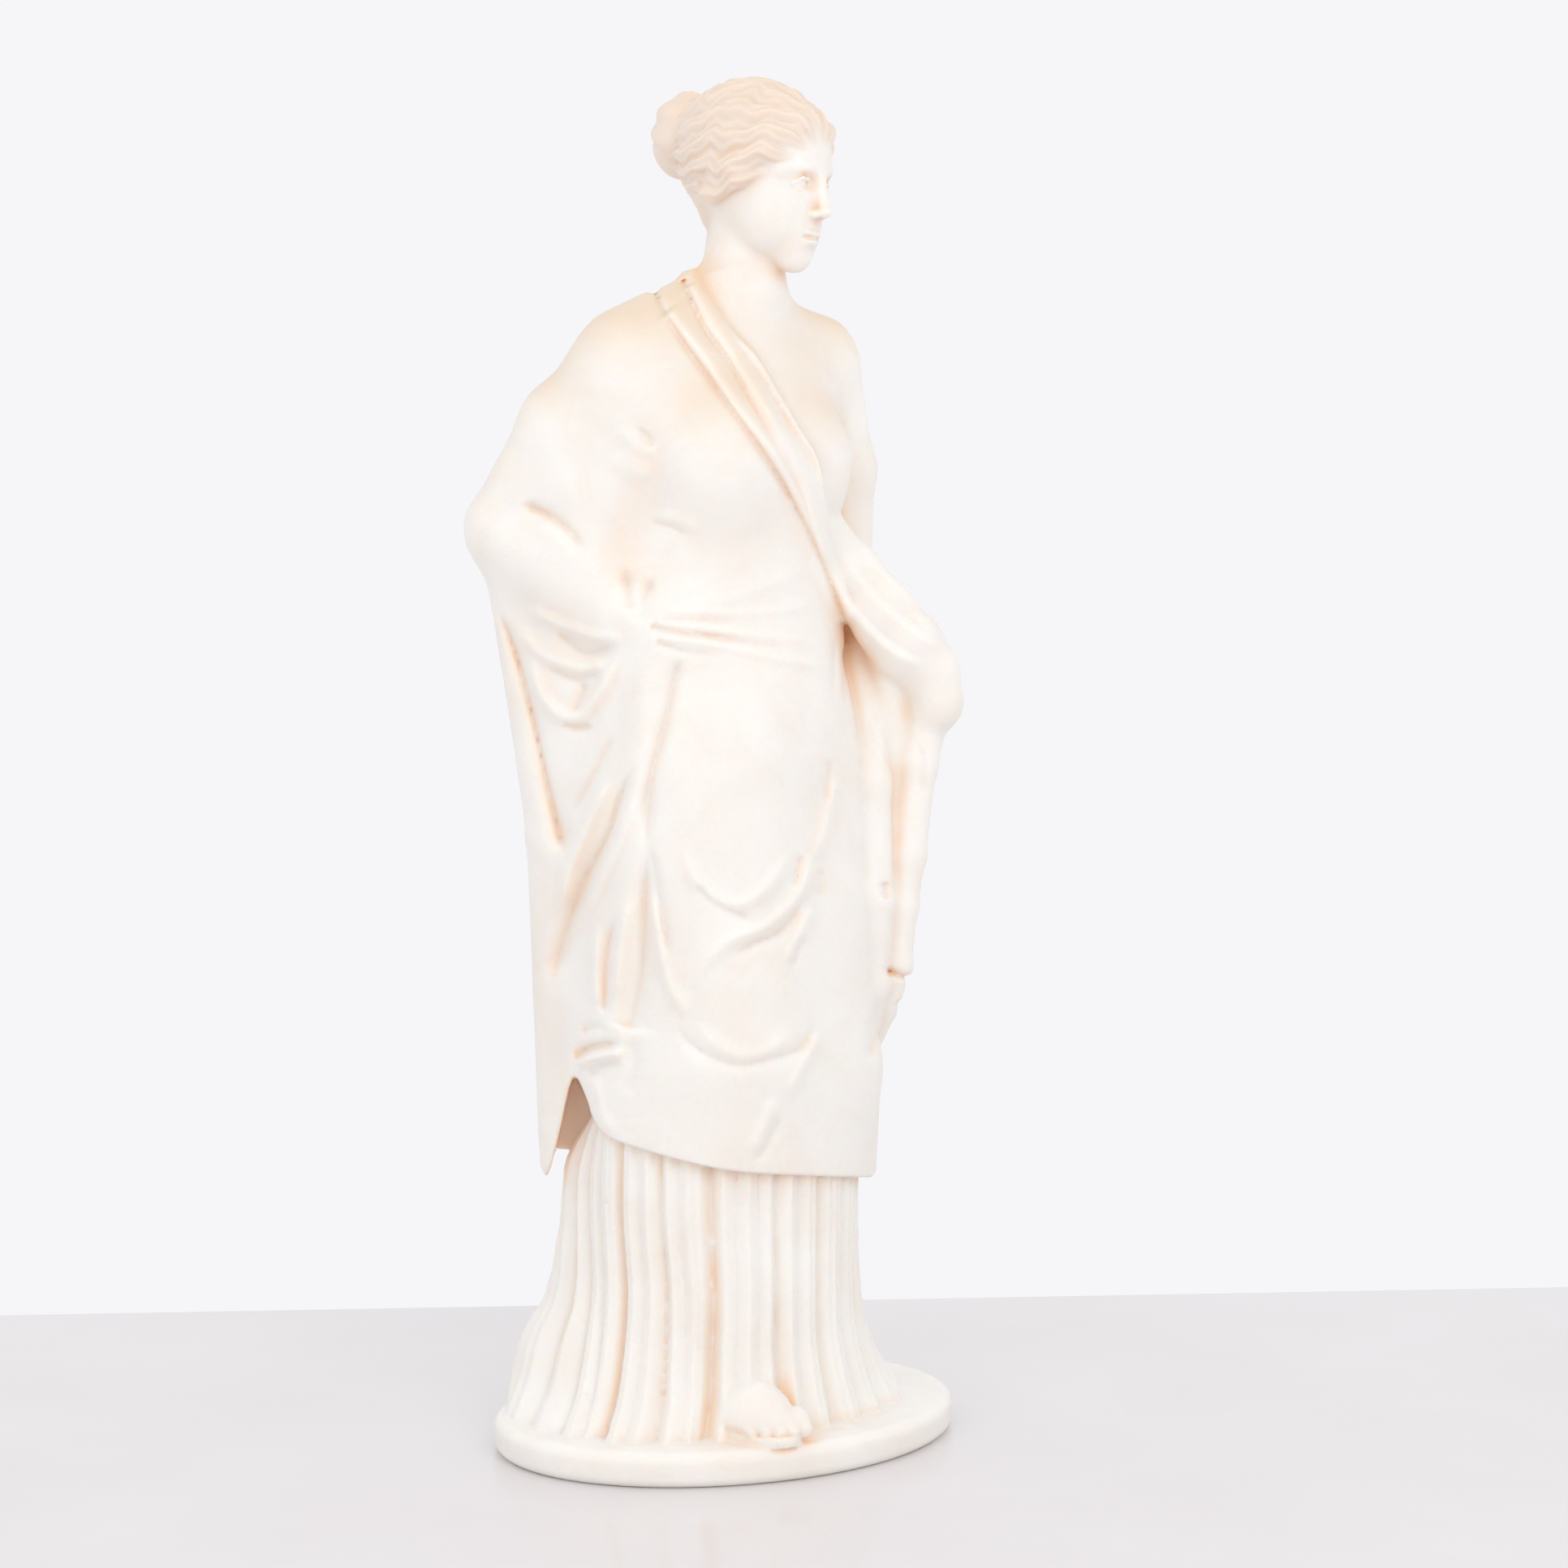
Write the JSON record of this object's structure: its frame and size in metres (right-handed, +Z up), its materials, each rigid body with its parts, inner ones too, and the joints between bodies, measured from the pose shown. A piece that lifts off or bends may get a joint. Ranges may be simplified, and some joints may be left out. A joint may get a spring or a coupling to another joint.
{
  "type": "draped marble statuette",
  "caption": "Draped standing woman in ivory marble, right hand on hip under her cloak, carved in one with a low oval plinth.",
  "frame": {"origin": "middle of the flat underside of the oval plinth", "axes": "+Z up along the figure's height, the figure faces -Y, her left hand side is +X"},
  "size_m": [0.2166, 0.174, 0.6002],
  "materials": {
    "figure_on_plinth": "honed ivory marble, satin"
  },
  "bodies": {
    "root": {"figure_on_plinth": "figure_on_plinth"}
  },
  "joints": []
}
